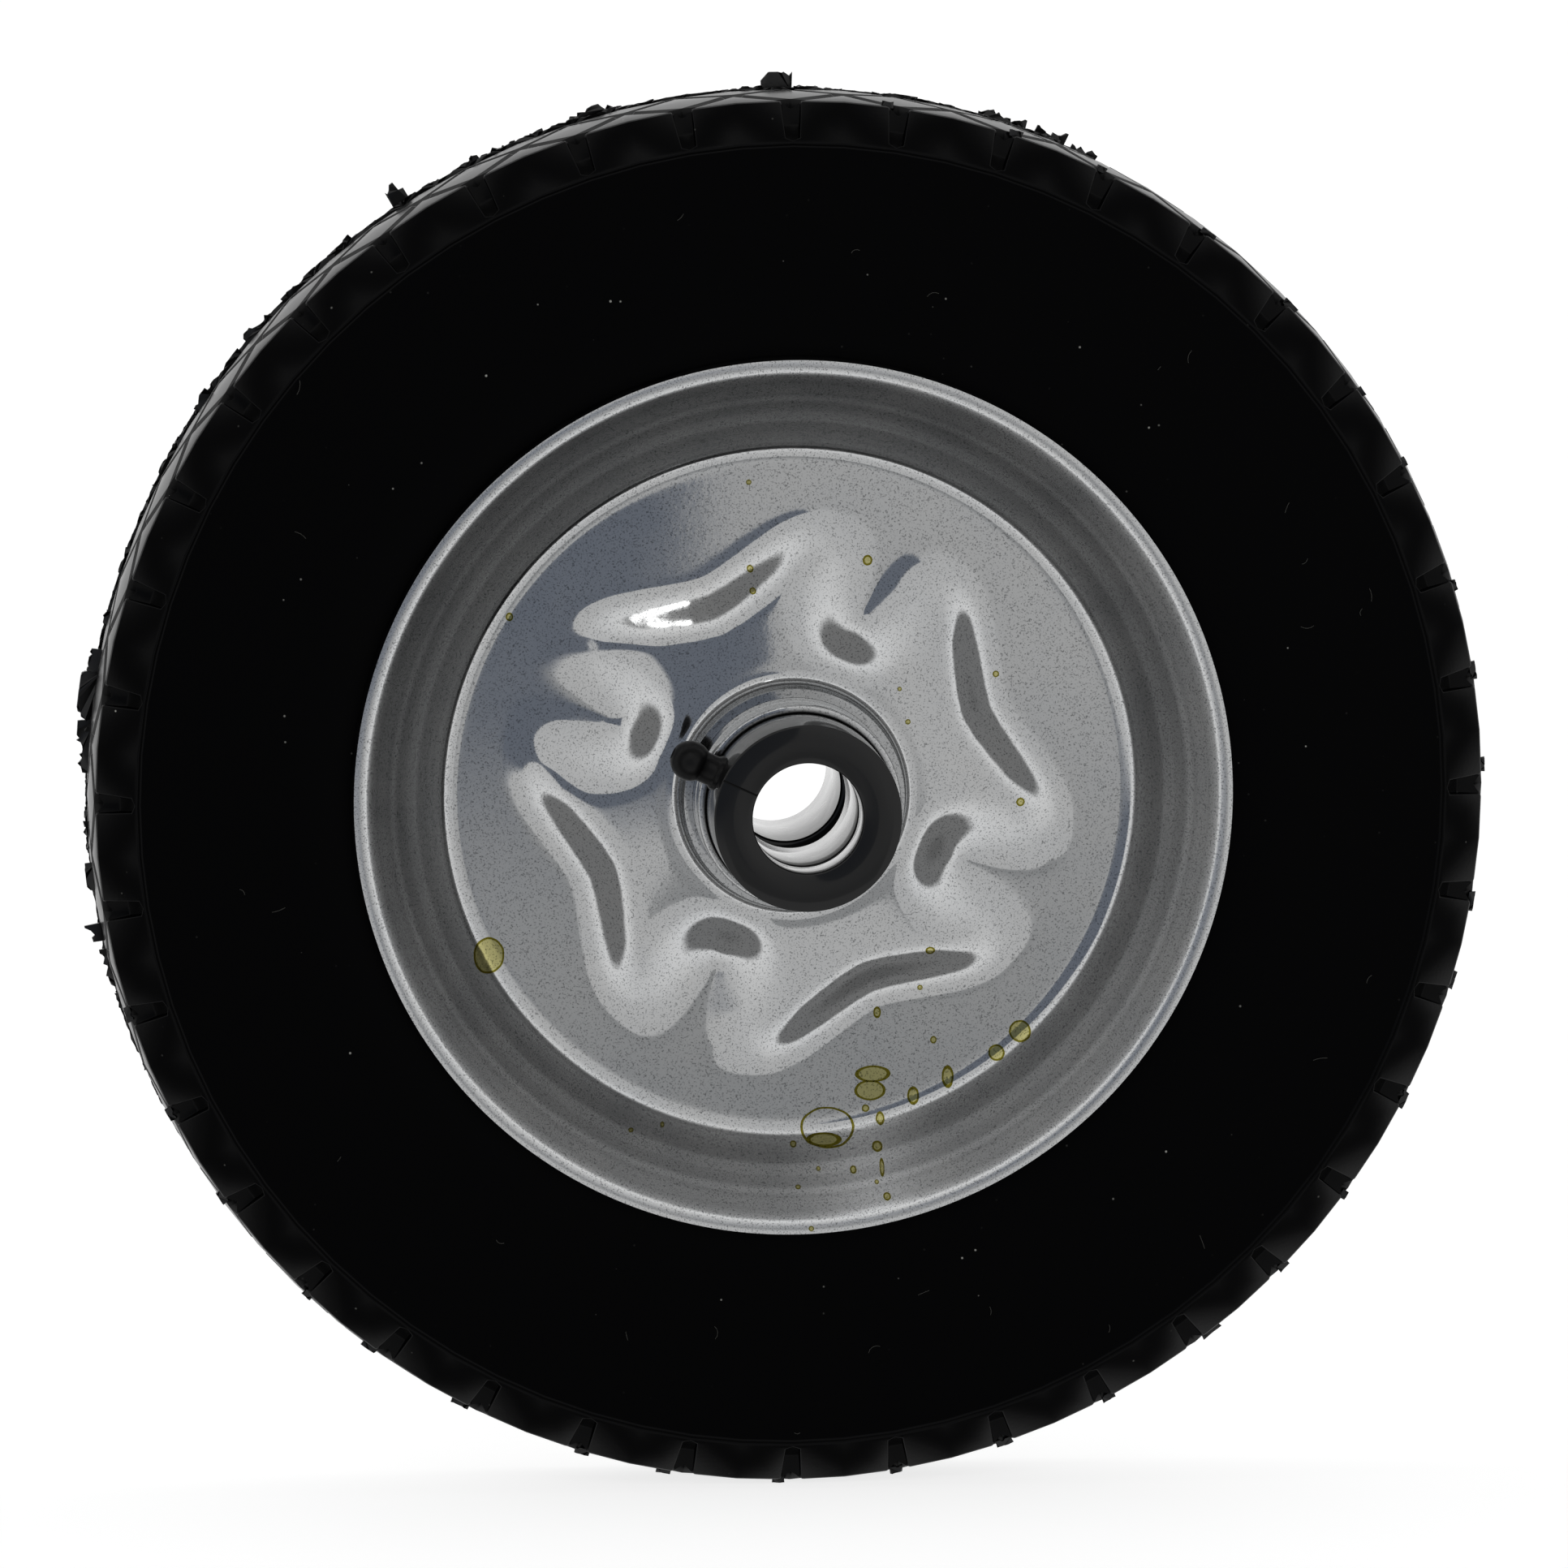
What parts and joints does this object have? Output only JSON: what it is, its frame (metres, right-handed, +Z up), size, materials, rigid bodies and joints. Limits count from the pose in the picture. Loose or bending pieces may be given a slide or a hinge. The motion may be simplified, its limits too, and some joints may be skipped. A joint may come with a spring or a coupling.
{
  "type": "lawn mower wheel",
  "caption": "Mower wheel with a diamond-tread rubber tyre on pressed steel discs with a star relief, a bushed axle bore and a grease nipple on the hub.",
  "frame": {"origin": "on the wheel's axis, in the middle plane of the tyre", "axes": "+Y along the wheel's axis towards its rear side, +Z up; the long hub and the nipple face -Y"},
  "size_m": [0.2538, 0.0678, 0.2538],
  "materials": {
    "tyre_rubber": "dull moulded black rubber with white dust",
    "zinc_plated_steel": "satin zinc plating with fine dark specks and dried yellow drops",
    "bush_plastic": "satin black moulded plastic",
    "black_steel": "black oxide",
    "ball_steel": "polished",
    "spring_steel": "drawn wire"
  },
  "bodies": {
    "wheel": {"tyre": "tyre_rubber", "front_disc": "zinc_plated_steel", "rear_disc": "zinc_plated_steel", "hub_tube": "zinc_plated_steel", "front_bush": "bush_plastic", "rear_bush": "bush_plastic", "nipple_body": "black_steel", "nipple_spring": "spring_steel"},
    "check_ball": {"nipple_ball": "ball_steel"}
  },
  "joints": [
    {"name": "nipple_check", "type": "slide", "parent": "wheel", "child": "check_ball", "axis": [0.9063, 0, -0.4226], "range_m": [0, 0.0008], "stiffness_N_per_m": 200, "springref_m": -0.0005, "deforming": ["nipple_spring"]}
  ]
}
